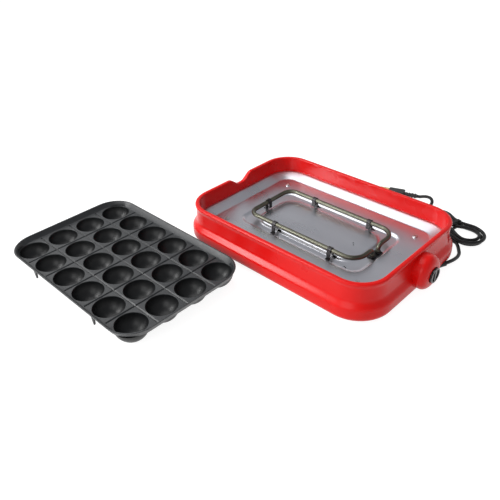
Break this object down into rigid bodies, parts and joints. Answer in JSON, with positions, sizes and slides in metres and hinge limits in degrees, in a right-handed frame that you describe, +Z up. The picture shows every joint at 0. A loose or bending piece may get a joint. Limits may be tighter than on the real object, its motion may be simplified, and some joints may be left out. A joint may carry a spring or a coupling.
{
  "type": "takoyaki maker",
  "caption": "Electric takoyaki maker with a moulded casing, a heating tube over a metal tray, a round knob, a cord in a hank, and a separate plate of round cups beside it.",
  "frame": {"origin": "on the table, under the centre of the casing, in the plane its four feet stand on", "axes": "+Z up; +X along the casing's long side towards the knob; -Y towards the plate that lies in front"},
  "size_m": [0.4835, 0.5453, 0.058],
  "materials": {
    "casing_red": "glossy",
    "base_black": "matte",
    "rubber_black": "matte",
    "screw_steel": "satin",
    "tray_aluminium": "satin",
    "tube_steel": "satin",
    "clip_steel": "satin",
    "insulator_ceramic": "matte",
    "terminal_brass": "satin",
    "shield_aluminium": "satin",
    "wire_sleeve": "matte",
    "clamp_plastic": "matte",
    "cord_black": "satin",
    "plug_black": "satin",
    "knob_black": "glossy",
    "plate_coating": "satin, dark non-stick coating"
  },
  "bodies": {
    "cooker": {"casing": "casing_red", "base_cover": "base_black", "feet": "rubber_black", "base_screws": "screw_steel", "tray": "tray_aluminium", "tray_screws": "screw_steel", "heater_tube": "tube_steel", "heater_clips": "clip_steel", "terminal_bracket": "clip_steel", "terminal_insulators": "insulator_ceramic", "terminal_pins": "screw_steel", "crimp_terminals": "terminal_brass", "heat_shield": "shield_aluminium", "thermostat_case": "insulator_ceramic", "thermostat_bush": "terminal_brass", "thermostat_bracket": "screw_steel", "thermal_fuse": "wire_sleeve", "wire_live": "wire_sleeve", "wire_switched": "wire_sleeve", "wire_neutral": "wire_sleeve", "cord_clamp": "clamp_plastic", "cord_clamp_screws": "screw_steel", "cord_gland": "cord_black", "cord_free": "cord_black", "cord_hank": "cord_black", "cord_tail": "cord_black", "hank_tie": "cord_black", "plug_body": "plug_black", "plug_relief": "plug_black", "plug_blades": "terminal_brass"},
    "knob": {"knob": "knob_black", "knob_spindle": "screw_steel"},
    "plate": {"plate_deck": "plate_coating", "plate_cups": "plate_coating"}
  },
  "joints": [
    {"name": "knob_turn", "type": "hinge", "parent": "cooker", "child": "knob", "pos_m": [0.1815, 0.005, 0.0285], "axis": [1, 0, 0], "range_deg": [0, 270]},
    {"name": "plate_lift", "type": "slide", "parent": "cooker", "child": "plate", "axis": [0, 0, 1], "range_m": [0, 0.12]}
  ]
}
